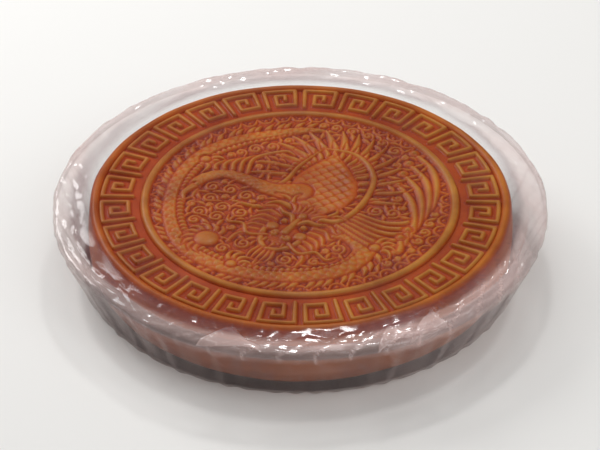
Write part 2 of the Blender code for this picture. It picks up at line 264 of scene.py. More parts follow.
class Relief:
    """Heights above the field, over a square, on an even grid, in millimetres."""

    def __init__(self, half):
        self.half = half
        self.count = int(round(2 * half / GRID_PITCH)) + 1
        axis = np.linspace(-half, half, self.count)
        self.x, self.y = np.meshgrid(axis, axis, indexing="ij")
        self.height = np.zeros_like(self.x)
        self.taken = np.zeros(self.x.shape, bool)

    def cut(self, low, high):
        """The part of the grid between two corners."""
        first = [max(int((v + self.half) / GRID_PITCH), 0) for v in low]
        last = [min(int((v + self.half) / GRID_PITCH) + 2, self.count) for v in high]
        return np.s_[first[0]:last[0], first[1]:last[1]]

    def stroke(self, line, half_widths, rise, pattern=plain, round_off=0.5, base=0.0, groove=GROOVE):
        """Lays one ridge along the line, over what is there, with a groove round it."""
        line = np.asarray(line, float)
        places = np.linspace(0, len(half_widths) - 1, len(line))
        widths = np.interp(places, np.arange(len(half_widths)), half_widths)
        reach = widths.max() + groove + GRID_PITCH
        whole = self.cut(line.min(0) - reach, line.max(0) + reach)
        shape = self.x[whole].shape
        if 0 in shape:
            return
        distance, along = np.full(shape, FAR_AWAY), np.zeros(shape)
        across, half = np.zeros(shape), np.ones(shape)
        row, column = whole[0].start, whole[1].start
        run = 0.0
        for (ax, ay), (bx, by), wa, wb in zip(line, line[1:], widths, widths[1:]):
            length = math.hypot(bx - ax, by - ay)
            if length < 1e-6:
                continue
            low, high = (min(ax, bx), min(ay, by)), (max(ax, bx), max(ay, by))
            part = self.cut([v - reach for v in low], [v + reach for v in high])
            here = (slice(part[0].start - row, part[0].stop - row),
                    slice(part[1].start - column, part[1].stop - column))
            dx, dy = self.x[part] - ax, self.y[part] - ay
            ux, uy = (bx - ax) / length, (by - ay) / length
            t = np.clip(dx * ux + dy * uy, 0, length)
            off = np.hypot(dx - t * ux, dy - t * uy)
            closer = off < distance[here]
            distance[here] = np.where(closer, off, distance[here])
            along[here] = np.where(closer, run + t, along[here])
            across[here] = np.where(closer, off * np.sign(ux * dy - uy * dx), across[here])
            half[here] = np.where(closer, wa + (wb - wa) * t / length, half[here])
            run += length
        half = np.maximum(half, 0.05)
        inside = distance < half
        edge = (distance - half) / groove
        share = np.clip(distance / half, 0, 1)
        top = base + rise * (1 - share**2) ** round_off
        top = top + pattern(along, across, half) * np.clip((1 - share) * 3, 0, 1)
        before = self.height[whole]
        beside = np.where(edge < 1, before * np.clip(edge, 0, 1) ** 0.7, before)
        self.height[whole] = np.where(inside, np.maximum(top, 0), beside)
        self.taken[whole] |= inside

    def spot(self, centre, radius, rise, round_off=0.5, base=0.0):
        """One round boss."""
        x, y = centre
        self.stroke([(x - 0.01, y), (x + 0.01, y)], [radius, radius], rise, round_off=round_off, base=base)

    def dent(self, centre, radius, depth):
        """One soft hollow."""
        part = self.cut([v - 2 * radius for v in centre], [v + 2 * radius for v in centre])
        off = np.hypot(self.x[part] - centre[0], self.y[part] - centre[1]) / radius
        self.height[part] = np.maximum(self.height[part] - depth * np.exp(-(off**2) * 1.6), 0)

    def room(self, limit=7.0):
        """How far each free grid point is from the nearest figure, up to a limit."""
        far = np.where(self.taken, 0.0, limit)
        diagonal = 1.414 * GRID_PITCH
        for _ in range(int(limit / GRID_PITCH)):
            for axis in (0, 1):
                for step in (1, -1):
                    far = np.minimum(far, np.roll(far, step, axis) + GRID_PITCH)
            for step in ((1, 1), (1, -1), (-1, 1), (-1, -1)):
                far = np.minimum(far, np.roll(far, step, (0, 1)) + diagonal)
        return far


def blurred(values, radius):
    """The grid smoothed by a round bell of that radius, in millimetres."""
    across, up = (np.fft.fftfreq(count, GRID_PITCH) for count in values.shape)
    bell = np.exp(-2 * (math.pi * radius) ** 2 * (across[:, None] ** 2 + up[None, :] ** 2))
    return np.real(np.fft.ifft2(np.fft.fft2(values) * bell))


def soft_noise(shape, radius, seed):
    """Smooth unevenness between -1 and 1, the same for the same seed."""
    made = blurred(np.random.default_rng(seed).standard_normal(shape), radius)
    return made / np.abs(made).max()


def read_off(grid, half, x, y):
    """Values of an even grid at any points, by straight runs between neighbours."""
    last = grid.shape[0] - 1.001
    u, v = np.clip((x + half) / GRID_PITCH, 0, last), np.clip((y + half) / GRID_PITCH, 0, last)
    i, j = u.astype(int), v.astype(int)
    a, b = u - i, v - j
    low = grid[i, j] * (1 - b) + grid[i, j + 1] * b
    high = grid[i + 1, j] * (1 - b) + grid[i + 1, j + 1] * b
    return low * (1 - a) + high * a


# ---------------------------------------------------------------- the dragon

# The line down its back, from the tail's tip round the left side to the neck
DRAGON_BACK = [
    (20, 61), (4, 63), (-14, 59), (-32, 53), (-48, 42), (-59, 25), (-64, 5), (-64, -16),
    (-58, -36), (-45, -51), (-25, -61), (0, -64), (21, -58), (32, -44), (26, -31), (12, -25),
]
# Its half widths, evenly spaced from the tail's tip to the neck
DRAGON_HALF_WIDTHS = [0.2, 2.6, 4.2, 5.0, 5.2, 4.9, 4.7, 4.9, 5.3, 5.5, 5.4, 5.2, 5.3, 5.5, 5.8, 6.0]
# The back's share of its distance from the middle that leaves room for fins inside the bead
DRAGON_TUCK = 0.915
HEAD_CENTRE = (-4.0, -22.0)
HEAD_TURN = math.radians(-34)


def on_face(*points):
    """Points given across and up the dragon's face, in the cake's own plane."""
    c, s = math.cos(HEAD_TURN), math.sin(HEAD_TURN)
    return [(HEAD_CENTRE[0] + x * c - y * s, HEAD_CENTRE[1] + x * s + y * c) for x, y in points]


def draw_dragon_body(relief):
    """The winding body with its scales, and the flame-shaped fins along its outer side."""
    back = smooth_line(DRAGON_BACK) * DRAGON_TUCK
    steps = np.hypot(*np.diff(back, axis=0).T)
    run = np.concatenate([[0], np.cumsum(steps)])
    known = np.arange(len(DRAGON_HALF_WIDTHS))
    widths = np.interp(np.linspace(0, known[-1], len(back)), known, DRAGON_HALF_WIDTHS)
    first_fin, bare_neck, fin_pitch = 12, 26, 4.6
    for place in np.arange(first_fin, run[-1] - bare_neck, fin_pitch):
        k = int(np.searchsorted(run, place))
        ahead = (back[k] - back[k - 1]) / np.linalg.norm(back[k] - back[k - 1])
        out = np.array([ahead[1], -ahead[0]])
        if np.dot(out, back[k]) < 0:
            out = -out
        root = back[k] + out * (widths[k] - 0.8)
        fin = [root + ahead * 2.0, root + out * 2.8 + ahead * 0.6, root + out * 5.2 - ahead * 2.6]
        relief.stroke(smooth_line(fin, 4), [2.0, 1.7, 0.15], 1.35)
    relief.stroke(back, DRAGON_HALF_WIDTHS, 1.5, scales(5.4, 1.2, -1), round_off=0.35)
    inward = -back / np.linalg.norm(back, axis=1)[:, None]
    belly = back[8:-14] + inward[8:-14] * 0.74 * widths[8:-14, None]
    relief.stroke(belly, [0.3, 1.6, 1.9, 1.9, 1.9, 1.6, 0.4], 1.25, plates(2.9, 0.5), groove=0.45)


def draw_dragon_limbs(relief):
    """Three feet, each with four curved claws round a rounded heel."""
    feet = (((-45, 33), -28), ((-31, -50), 62), ((34, -38), 20))
    for heel, turn in feet:
        for spread in (-48, -18, 12, 42):
            a = math.radians(turn + spread)
            toe = (heel[0] + 6.5 * math.cos(a), heel[1] + 6.5 * math.sin(a))
            tip = (heel[0] + 11 * math.cos(a - 0.4), heel[1] + 11 * math.sin(a - 0.4))
            relief.stroke(smooth_line([heel, toe, tip], 4), [1.8, 1.4, 0.1], 1.5)
        relief.spot(heel, 3.0, 1.7)


def draw_mane(relief, side):
    """The locks of the mane and the antler on one side of the head."""
    for i in range(7):
        lock = on_face((side * 9, 8 - 3.4 * i), (side * (15 + i * 0.4), 10 - 4.4 * i),
                       (side * (20 - 0.3 * i), 7 - 5.2 * i), (side * (23 - i), 9 - 5.4 * i))
        relief.stroke(smooth_line(lock, 4), [1.9, 1.7, 1.2, 0.1], 1.25, strands(2))
    antler = on_face((side * 4, 9), (side * 8, 15), (side * 14, 18.5), (side * 21, 18))
    relief.stroke(smooth_line(antler, 5), [1.7, 1.5, 1.2, 0.2], 1.7, plates(1.4, 0.18))
    tine = on_face((side * 10, 16.5), (side * 11.5, 20.5), (side * 10, 24))
    relief.stroke(smooth_line(tine, 4), [1.2, 1.0, 0.2], 1.6)


def draw_crest_and_beard(relief):
    """The tufts between the antlers, the skull under the face, and the beard."""
    for i in range(7):
        lean = (i - 3) / 3
        crest = on_face((2.6 * lean, 6), (5.2 * lean, 12), (7.5 * lean, 16.5 - 2 * abs(lean)),
                        (10.5 * lean, 19 - 3 * abs(lean)))
        relief.stroke(smooth_line(crest, 4), [1.7, 1.6, 1.3, 0.1], 1.35, strands(2, 0.25))
    skull = on_face((0, 4), (0, -18))
    relief.stroke(skull, [7.5, 9.5, 9.0, 7.5, 7.0, 6.0], 0.95, round_off=0.3)
    for i in range(5):
        beard = on_face((-4 + 2 * i, -20), (-5 + 2.6 * i, -25), (-4.5 + 2.2 * i, -29.5))
        relief.stroke(smooth_line(beard, 4), [1.1, 1.0, 0.1], 1.2)


def draw_half_face(relief, side):
    """The jaw, cheek, eye, brow, nostril, fang and whisker on one side."""
    jaw = on_face((side * 9.5, -8), (side * 7.5, -14), (side * 4, -18), (0, -19.5))
    relief.stroke(smooth_line(jaw, 5), [1.4, 1.6, 1.4, 1.2], 0.9, base=0.8)
    cheek = on_face((side * 7.6, -4))[0]
    relief.spot(cheek, 3.1, 0.75, base=0.9)
    eye = on_face((side * 5.2, 2.4))[0]
    relief.dent(eye, 3.6, 1.5)
    relief.spot(eye, 1.7, 1.3, base=0.5)
    relief.dent(eye, 0.5, 0.6)
    brow = on_face((side * 1.6, 3.4), (side * 4.5, 7.2), (side * 9, 7.4), (side * 13.5, 10.5))
    relief.stroke(smooth_line(brow, 5), [1.2, 1.5, 1.3, 0.2], 1.0, plates(1.3, 0.2), base=0.9)
    nostril = spiral(on_face((side * 3.2, -8.4))[0], 2.3, 90 + side * 60, 1.0, 12)
    relief.stroke(nostril, [0.85, 0.9, 0.8], 0.9, base=0.95, groove=0.35)
    fang = on_face((side * 4.6, -13.4), (side * 4.9, -17.0))
    relief.stroke(fang, [0.9, 0.15], 1.1, base=0.7, groove=0.35)
    whisker = on_face((side * 6, -11), (side * 14, -15), (side * 20, -10), (side * 27, -12), (side * 30, -7))
    relief.stroke(smooth_line(whisker, 6), [1.0, 1.1, 1.0, 0.8, 0.2], 1.5)


def draw_mouth_and_nose(relief):
    """The open mouth with its tongue and teeth, the nose, the boss on the forehead and the lip's creases."""
    mouth = on_face((0, -15))[0]
    relief.dent(mouth, 4.2, 0.9)
    tongue = on_face((0, -13.4), (0.6, -15.6), (-0.4, -18))
    relief.stroke(smooth_line(tongue, 4), [1.5, 1.4, 0.3], 0.9, strands(2, 0.3), base=0.4)
    for across in (-2.7, -1.0, 1.0, 2.7):
        tooth = on_face((across, -13.2 - 0.12 * across**2))[0]
        relief.spot(tooth, 0.75, 0.8, base=0.75)
    nose = on_face((0, 7), (0, 1), (0, -5))
    relief.stroke(nose, [1.2, 1.6, 2.2], 0.85, base=0.95, groove=0.4)
    forehead = on_face((0, 9.5))[0]
    relief.spot(forehead, 2.3, 0.9, base=0.9)
    for i in range(3):
        up = -10.9 - 1.2 * i
        crease = on_face((-2.2, up), (2.2, up))
        relief.stroke(crease, [0.4, 0.5, 0.4], 0.5, base=0.7, groove=0.25)


def draw_dragon_head(relief):
    """The full face, from what lies behind it to what stands in front."""
    for side in (-1, 1):
        draw_mane(relief, side)
    draw_crest_and_beard(relief)
    for side in (-1, 1):
        draw_half_face(relief, side)
    draw_mouth_and_nose(relief)


def draw_pearl(relief):
    """The pearl between the two, with flames that stream from it."""
    centre, radius = np.array((-42.5, -30.5)), 6.0
    for i in range(9):
        a = math.radians(30 + 25 * i)
        root = centre + 5.4 * np.array([math.cos(a), math.sin(a)])
        middle = root + 4.2 * np.array([math.cos(a + 0.3), math.sin(a + 0.3)])
        tip = root + 8.0 * np.array([math.cos(a + 0.75), math.sin(a + 0.75)])
        relief.stroke(smooth_line([root, middle, tip], 4), [1.7, 1.5, 0.1], 1.25)
    relief.spot(centre, radius, 1.9, round_off=0.4)


# ---------------------------------------------------------------- the phoenix

BIRD_CENTRE = np.array([12.0, 12.0])
BIRD_LEAN = math.radians(78)
# How far out from the middle the wings' feathers may reach
FEATHER_LIMIT = 66


def draw_phoenix_tail(relief):
    """Long feathers that sweep down and round the right side, each ending in an eye."""
    for i in range(6):
        tail = [
            (24 - 2 * i, -10 - 1.5 * i), (40 - 1.6 * i, -19 - 3.5 * i), (54 - 2 * i, -16 - 5 * i),
            (63 - 3.4 * i, 0 - 6 * i), (63.5 - 3.8 * i, 22 - 8 * i), (55 - 3 * i, 38 - 8.5 * i),
        ]
        short = i > 3
        if short:
            tail = tail[:4]
        relief.stroke(smooth_line(tail), [1.4, 1.7, 1.9, 1.9, 2.0, 1.2], 1.25, barbs(1.7))
        relief.spot(tail[-1], 2.7, 1.3)
        relief.spot(tail[-1], 1.2, 0.6, base=1.2)


def draw_phoenix_wings(relief):
    """Two rows of flight feathers fanned round the body, with short coverts over their roots."""
    lean = np.array([math.cos(BIRD_LEAN), math.sin(BIRD_LEAN)])
    flank = np.array([lean[1], -lean[0]])
    rows = ((24, 2.1, 17), (14, 1.9, 16), (7, 1.6, 18))
    for row, (reach, width, count) in enumerate(rows):
        for i in range(count):
            a = math.radians(-95 + 200 * i / (count - 1))
            out = lean * math.cos(a) + flank * math.sin(a)
            root = BIRD_CENTRE + lean * 22 * math.cos(a) + flank * 14 * math.sin(a)
            bend = np.array([-out[1], out[0]])
            feather = [root, root + out * 0.55 * reach, root + out * reach + bend * 0.16 * reach]
            if np.linalg.norm(feather[-1]) > FEATHER_LIMIT:
                feather = [p * min(1, FEATHER_LIMIT / max(np.linalg.norm(p), 1)) for p in feather]
            half_widths = [1.2, width, 0.9 * width, 0.3]
            relief.stroke(smooth_line(feather, 5), half_widths, 1.2 + 0.12 * row, barbs(1.6))


def draw_phoenix_body(relief):
    """The leaf-shaped body in small round feathers, edged by smooth lines, with a few loose plumes."""
    lean = np.array([math.cos(BIRD_LEAN), math.sin(BIRD_LEAN)])
    spine = [BIRD_CENTRE + lean * reach for reach in (-25, -10, 8, 26)]
    half_widths = [3.0, 12.5, 16.5, 15.0, 8.5, 0.6]
    relief.stroke(smooth_line(spine, 8), half_widths, 1.3, scales(6.2, 1.4), round_off=0.22)
    rim = [(-33, 0), (-20, -6), (-9, -3), (4, -13), (17, -18), (29, -4), (35, 17), (28, 35), (12, 42)]
    relief.stroke(smooth_line(rim), [0.3, 1.7, 2.0, 2.0, 1.9, 1.8, 1.7, 1.5, 0.3], 1.9)
    edge = [(11, 41), (0, 27), (-6, 16), (-13, 9)]
    relief.stroke(smooth_line(edge), [0.3, 1.3, 1.5, 1.2], 1.7)
    for i in range(5):
        plume = [(-38 + 3.2 * i, 20), (-40 + 4.6 * i, 28 + 1.4 * i), (-30 + 5.6 * i, 33 + 1.6 * i),
                 (-26 + 6 * i, 28 + 2 * i)]
        relief.stroke(smooth_line(plume, 5), [1.2, 1.4, 1.3, 0.3], 1.25, barbs(1.5, 0.22))


def draw_phoenix_head(relief):
    """The bent neck in small feathers, the two halves of the beak, and the eye."""
    neck = [(0, 6), (-13, 8), (-25, 16), (-36, 20.5), (-46, 17), (-51, 9)]
    half_widths = [7.0, 5.0, 4.0, 3.5, 3.6, 3.2]
    relief.stroke(smooth_line(neck), half_widths, 1.75, scales(4.4, 0.9, -1), round_off=0.4)
    upper_beak = [(-50, 11), (-54.5, 5), (-53.5, -2)]
    relief.stroke(smooth_line(upper_beak, 5), [2.6, 1.7, 0.2], 1.6)
    lower_beak = [(-48, 8), (-50, 4), (-49, 0)]
    relief.stroke(smooth_line(lower_beak, 4), [1.1, 1.1, 0.2], 1.3)
    eye = (-48.2, 12.2)
    relief.spot(eye, 1.3, 0.8, base=1.4)
    relief.dent(eye, 0.5, 0.6)


# ---------------------------------------------------------------- clouds, waves and the whole picture


def draw_curl(relief, centre, reach, start):
    """One curl of cloud where there is room for it, or else one short wave."""
    if reach > 2.1:
        curl = spiral(centre, reach - 0.4, start, 0.7 + 0.18 * reach)
        relief.stroke(curl, [0.5, 0.85, 0.9, 0.8], 1.2, groove=0.4)
        return
    lean = np.array([math.cos(math.radians(start)), math.sin(math.radians(start))])
    crest = centre + 0.5 * np.array([-lean[1], lean[0]])
    wave = [centre - lean * (reach + 1.2), crest, centre + lean * (reach + 1.2)]
    relief.stroke(smooth_line(wave, 4), [0.2, 0.8 * reach, 0.2], 1.1, groove=0.4)


def fill_with_curls(relief, radius):
    """Curls of cloud in whatever room is left, the largest first."""
    most, largest, smallest = 150, 4.4, 1.1
    from_middle = np.hypot(relief.x, relief.y)
    for k in range(most):
        if k % 5 == 0:
            far = np.where(from_middle < radius, relief.room(), 0.0)
            far = np.minimum(far, radius - from_middle)
        i, j = np.unravel_index(np.argmax(far), far.shape)
        reach = min(far[i, j] - 0.5, largest)
        if reach < smallest:
            break
        centre = np.array([relief.x[i, j], relief.y[i, j]])
        start = math.degrees(math.atan2(centre[1], centre[0])) + 140 + 37 * (k % 5)
        draw_curl(relief, centre, reach, start)
        away = np.hypot(relief.x - centre[0], relief.y - centre[1])
        far = np.minimum(far, np.maximum(away - reach, 0))


def draw_petals(relief):
    """A ring of small arches with a seed in each, close inside the inner bead."""
    petals = 52
    for i in range(petals):
        a = math.tau * i / petals
        ring = PICTURE_RADIUS - 0.4
        arch = []
        for share in np.linspace(-1, 1, 7):
            bow = ring - 3.6 * math.sqrt(max(0.0, 1 - share**2))
            turn = a + share * 0.46 * math.tau / petals
            arch.append((bow * math.cos(turn), bow * math.sin(turn)))
        relief.stroke(arch, [0.6, 0.7, 0.6], 1.0, groove=0.4)
        relief.spot(((ring - 1.2) * math.cos(a), (ring - 1.2) * math.sin(a)), 0.9, 0.9)


def with_echoes(relief):
    """The heights with a faint line that follows each figure's outline in the gaps."""
    far = relief.room(4.0)
    echo = 0.5 * np.clip(np.cos(math.tau * (far - 1.1) / 1.5), 0, 1) * (far > 0.5)
    return np.where(relief.taken, relief.height, np.maximum(relief.height, echo))


def draw_picture():
    """The whole round picture with its inner bead, as heights and as a measure of how far each place stands
    up, which paints shade into its hollows and highlight onto its ridges.
    """
    relief = Relief(INNER_BEAD + INNER_BEAD_HALF + 1.2)
    draw_petals(relief)
    draw_dragon_body(relief)
    draw_phoenix_tail(relief)
    draw_phoenix_wings(relief)
    draw_dragon_limbs(relief)
    draw_pearl(relief)
    draw_phoenix_body(relief)
    draw_phoenix_head(relief)
    draw_dragon_head(relief)
    fill_with_curls(relief, PICTURE_RADIUS)
    heights = with_echoes(relief)
    radius = np.hypot(relief.x, relief.y)
    share = np.clip(np.abs(radius - INNER_BEAD) / INNER_BEAD_HALF, 0, 1)
    bead = BEAD_RISE * np.cos(share * math.pi / 2) ** 0.7
    heights = np.where(radius > PICTURE_RADIUS, bead, heights)
    # The press leaves soft edges
    heights = np.clip(blurred(heights, 0.24), 0, HIGHEST_RELIEF)
    # Painted shade and highlight: darker where a place sits below what is near it, lighter where it stands
    # above it, and lighter the higher it is
    relief_shading = np.clip(0.45 + (heights - blurred(heights, 1.7)) / 0.95, 0, 1)
    relief_shading = 0.62 * relief_shading + 0.38 * np.clip(heights / 1.7, 0, 1)
    # Baking presses and lifts it unevenly, and its edge is tucked under the key band
    pressed = 0.93 + 0.07 * soft_noise(heights.shape, 9.0, 4)
    lift = 0.14 * soft_noise(heights.shape, 5.0, 9) * np.clip((INNER_BEAD - radius) / 5, 0, 1)
    tuck = 0.9 * np.clip(radius - INNER_BEAD - INNER_BEAD_HALF + 0.4, 0, 1.5)
    return relief.half, heights * pressed + lift - tuck, relief_shading


# ---------------------------------------------------------------- meshes


def make_mesh(name, points, faces, material, values=None, measure="relief_shading"):
    """An object from points in millimetres, with one named measure stored at its points."""
    mesh = bpy.data.meshes.new(name)
    mesh.from_pydata((np.asarray(points) * MM).tolist(), [], faces)
    if values is not None:
        stored = mesh.attributes.new(measure, "FLOAT", "POINT")
        stored.data.foreach_set("value", np.asarray(values, np.float32))
    mesh.validate()
    mesh.shade_smooth()
    if material:
        mesh.materials.append(material)
    thing = bpy.data.objects.new(name, mesh)
    bpy.context.scene.collection.objects.link(thing)
    return thing


def turned(profile, sides):
    """Points and faces of a (radius, height) profile turned about Z; both its ends lie on the axis."""
    body = [p for p in profile if p[0] > 1e-6]
    angle = math.tau * np.arange(sides) / sides
    rings = [np.stack([r * np.cos(angle), r * np.sin(angle), np.full(sides, z)], 1) for r, z in body]
    points = np.vstack([*rings, [(0, 0, profile[0][1])], [(0, 0, profile[-1][1])]])
    first, last = len(body) * sides, len(body) * sides + 1
    faces = []
    for k in range(len(body) - 1):
        for i in range(sides):
            j = (i + 1) % sides
            faces.append((k * sides + i, k * sides + j, (k + 1) * sides + j, (k + 1) * sides + i))
    end = (len(body) - 1) * sides
    for i in range(sides):
        j = (i + 1) % sides
        faces.append((j, i, first))
        faces.append((end + i, end + j, last))
    return points, faces


def finish_piece(piece, slot, *nodes):
    """Ties a finished piece to the frame."""
    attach(piece, "root")
    if nodes:
        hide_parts(*nodes)


# ---------------------------------------------------------------- finishes


def new_material(name):
    """A material of that name and its node tree, or no tree where it is made already."""
    material = bpy.data.materials.get(name)
    if material:
        return material, None
    material = bpy.data.materials.new(name)
    material.use_nodes = True
    return material, material.node_tree


def fill_sockets(tree, node, sockets):
    """Puts a constant, or a link from another node, on each named or numbered input of a node."""
    for key, value in sockets.items():
        socket = node.inputs[key]
        if isinstance(value, bpy.types.NodeSocket):
            tree.links.new(value, socket)
        else:
            socket.default_value = value


def add_node(tree, kind, sockets=None, **traits):
    """A new node with its traits set and its inputs filled."""
    node = tree.nodes.new(kind)
    for trait, value in traits.items():
        setattr(node, trait, value)
    fill_sockets(tree, node, sockets or {})
    return node


def calculated(tree, operation, *values, **traits):
    """The result of one sum on its values."""
    node = add_node(tree, "ShaderNodeMath", dict(enumerate(values)), operation=operation, **traits)
    return node.outputs[0]


def color_socket(sockets, name):
    """The colour socket of that name, where a node has one of each type under the same name."""
    return next(socket for socket in sockets if socket.name == name and socket.type == "RGBA")


def color_ramp(tree, value, stops):
    """A run of colours along a value, from places and colours in rising order."""
    node = add_node(tree, "ShaderNodeValToRGB", {"Fac": value})
    elements = node.color_ramp.elements
    for element, (place, color) in zip(elements, (stops[0], stops[-1])):
        element.position, element.color = place, (*color, 1)
    for place, color in stops[1:-1]:
        elements.new(place).color = (*color, 1)
    return node.outputs["Color"]


def multiplied(tree, first, second, factor):
    """One colour multiplied by another."""
    node = add_node(tree, "ShaderNodeMix", {"Factor": factor}, data_type="RGBA", blend_type="MULTIPLY")
    tree.links.new(first, color_socket(node.inputs, "A"))
    tree.links.new(second, color_socket(node.inputs, "B"))
    return color_socket(node.outputs, "Result")


def crust_color(tree, place, patches):
    """Painted shade in the creases and grooves and painted highlight on the ridges, over the red-brown crust,
    in patches, and yellower towards the right.
    """
    settings = bpy.context.scene.mooncake_crust
    relief_shading = add_node(tree, "ShaderNodeAttribute", attribute_name="relief_shading").outputs["Fac"]
    # Painted shade in creases and grooves and painted highlight on ridges, by how far each place stands up
    pressed = color_ramp(tree, relief_shading, [
        (0.0, settings.line_color), (0.16, settings.groove_shade_color),
        (0.5, settings.crust_color), (0.86, settings.ridge_highlight_color),
    ])
    tone = color_ramp(tree, patches, [(0.34, (0.66, 0.5, 0.42)), (0.64, (1.2, 1.26, 1.1))])
    patchy = multiplied(tree, pressed, tone, 0.85)
    sideways = add_node(tree, "ShaderNodeSeparateXYZ", {"Vector": place}).outputs["X"]
    across = add_node(tree, "ShaderNodeMapRange", {
        "Value": sideways, "From Min": -CAKE_RADIUS * MM, "From Max": CAKE_RADIUS * MM,
    })
    warmth = color_ramp(tree, across.outputs["Result"], [(0.0, (0.98, 0.86, 0.88)), (1.0, (1.02, 1.1, 0.86))])
    return multiplied(tree, patchy, warmth, 1.0)


def crust_material():
    """Baked egg-washed crust with painted shade in its grooves and painted highlight on its ridges, patchy
    tone and gloss and a fine grain.
    """
    material, tree = new_material("egg_washed_crust")
    if tree is None:
        return material
    place = add_node(tree, "ShaderNodeTexCoord").outputs["Object"]
    noise = {"Vector": place, "Scale": 34.0, "Detail": 4.0, "Roughness": 0.62}
    patches = add_node(tree, "ShaderNodeTexNoise", noise).outputs["Fac"]
    gloss = add_node(tree, "ShaderNodeMapRange", {"Value": patches, "To Min": 0.34, "To Max": 0.56})
    grain = add_node(tree, "ShaderNodeTexNoise", {"Vector": place, "Scale": 420.0, "Detail": 2.0})
    pores = {"Height": grain.outputs["Fac"], "Strength": 0.12, "Distance": 0.0003}
    bump = add_node(tree, "ShaderNodeBump", pores)
    fill_sockets(tree, tree.nodes["Principled BSDF"], {
        "Base Color": crust_color(tree, place, patches),
        "Roughness": gloss.outputs["Result"],
        "Normal": bump.outputs["Normal"],
        "Specular IOR Level": 0.13,
        "Coat Weight": 0.05,
        "Coat Roughness": 0.22,
        "Subsurface Weight": 0.1,
        "Subsurface Scale": 0.002,
    })
    return material


def painted_shade_beside_crust(tree, painted_shade, color):
    """A clear finish's colour with painted shade and painted reflection of the crust: darker high up close
    beside the crust, a little wider on the left.
    """
    left, fall = 2.0, 0.5
    start, end = CAKE_RADIUS + 3.5, CAKE_RADIUS + 6.5
    place = add_node(tree, "ShaderNodeTexCoord").outputs["Object"]
    flat = add_node(tree, "ShaderNodeVectorMath", {
        0: place, 1: (1, 1, 0), 2: (left * MM, 0, 0),
    }, operation="MULTIPLY_ADD")
    reach = add_node(tree, "ShaderNodeVectorMath", {0: flat.outputs["Vector"]}, operation="LENGTH")
    height = add_node(tree, "ShaderNodeSeparateXYZ", {"Vector": place}).outputs["Z"]
    band = add_node(tree, "ShaderNodeMapRange", {
        "Value": calculated(tree, "MULTIPLY_ADD", height, -fall, reach.outputs["Value"]),
        "From Min": (start - fall * TRAY_HIGH.z) * MM,
        "From Max": (end - fall * TRAY_HIGH.z) * MM,
    })
    mixed = add_node(tree, "ShaderNodeMix", data_type="RGBA")
    tree.links.new(band.outputs["Result"], mixed.inputs["Factor"])
    color_socket(mixed.inputs, "A").default_value = (*painted_shade, 1)
    color_socket(mixed.inputs, "B").default_value = (*color, 1)
    return color_socket(mixed.outputs, "Result")


def clear_material(name, color, facing, grazing, roughness, gathered=0.0, painted_shade=None):
    """Clear plastic: nearly nothing face on, and more haze and shine where it turns away or is gathered."""
    material, tree = new_material(name)
    if tree is None:
        return material
    turned_away = add_node(tree, "ShaderNodeLayerWeight").outputs["Facing"]
    steep = calculated(tree, "POWER", turned_away, 4.5)
    haze = add_node(tree, "ShaderNodeMapRange", {"Value": steep, "To Min": facing, "To Max": grazing})
    folds = add_node(tree, "ShaderNodeAttribute", attribute_name="gathered").outputs["Fac"]
    fill_sockets(tree, tree.nodes["Principled BSDF"], {
        # Painted shade and reflection of the crust beside it, where asked
        "Base Color": painted_shade_beside_crust(tree, painted_shade, color) if painted_shade else (*color, 1),
        "Roughness": roughness,
        "Specular IOR Level": 0.8,
        "Coat Weight": 0.6,
        "Coat Roughness": 0.1,
        "Alpha": calculated(tree, "MULTIPLY_ADD", folds, gathered, haze.outputs["Result"], use_clamp=True),
    })
    return material


# ---------------------------------------------------------------- the key band, by geometry nodes


def off_key_line(across, out, pitch, height):
    """How far each place is from the line of the nearest key, those of the next tiles too."""
    nearest = np.full(across.shape, FAR_AWAY)
    for shift in (-1, 0, 1):
        path = [((a + shift) * pitch, b * height) for a, b in KEY_TURNS]
        for (ax, ay), (bx, by) in zip(path, path[1:]):
            length = math.hypot(bx - ax, by - ay)
            ux, uy = (bx - ax) / length, (by - ay) / length
            t = np.clip((across - ax) * ux + (out - ay) * uy, 0, length)
            nearest = np.minimum(nearest, np.hypot(across - ax - t * ux, out - ay - t * uy))
    return nearest


def key_tile(count):
    """One pitch of the band as a closed length of ring section, whose two ends match."""
    steps, rows, overlap = 48, 46, 0.8
    turn = math.tau / count
    pitch, height = turn * (KEY_INNER + KEY_OUTER) / 2, KEY_OUTER - KEY_INNER
    radii = np.linspace(BAND_INNER - overlap, BAND_OUTER + overlap, rows)
    u = np.linspace(0, 1, steps + 1)
    across, out = np.meshgrid(u * pitch, radii - KEY_INNER, indexing="ij")
    nearest = off_key_line(across, out, pitch, height)
    share = np.clip((nearest - 0.25) / KEY_HALF_WIDTH, 0, 1)
    rise = KEY_RISE * (0.5 + 0.5 * np.cos(math.pi * share**1.6))
    angle = -u * turn
    x, y = radii[None] * np.cos(angle)[:, None], radii[None] * np.sin(angle)[:, None]
    top = np.stack([x, y, FIELD + rise], 2)
    under = []
    for r in (radii[-1], radii[0]):
        low = np.full(steps + 1, FIELD - ROOT_DEPTH)
        under.append(np.stack([r * np.cos(angle), r * np.sin(angle), low], 1)[:, None])
    loop = np.concatenate([top, *under], 1)
    size = rows + len(under)
    faces = []
    for i in range(steps):
        for j in range(size):
            k = (j + 1) % size
            faces.append((i * size + j, (i + 1) * size + j, (i + 1) * size + k, i * size + k))
    # Painted shade: a dark line along each key's foot, and painted highlight: the keys lighter the higher
    # they rise
    crease = 0.16 * np.exp(-(((nearest - KEY_HALF_WIDTH - 0.35) / 0.35) ** 2))
    relief_shading = np.clip(0.24 + 0.72 * rise / KEY_RISE - crease, 0, 1)
    relief_shading = np.concatenate([relief_shading, np.zeros((steps + 1, len(under)))], 1)
    return loop.reshape(-1, 3), faces, relief_shading.reshape(-1)


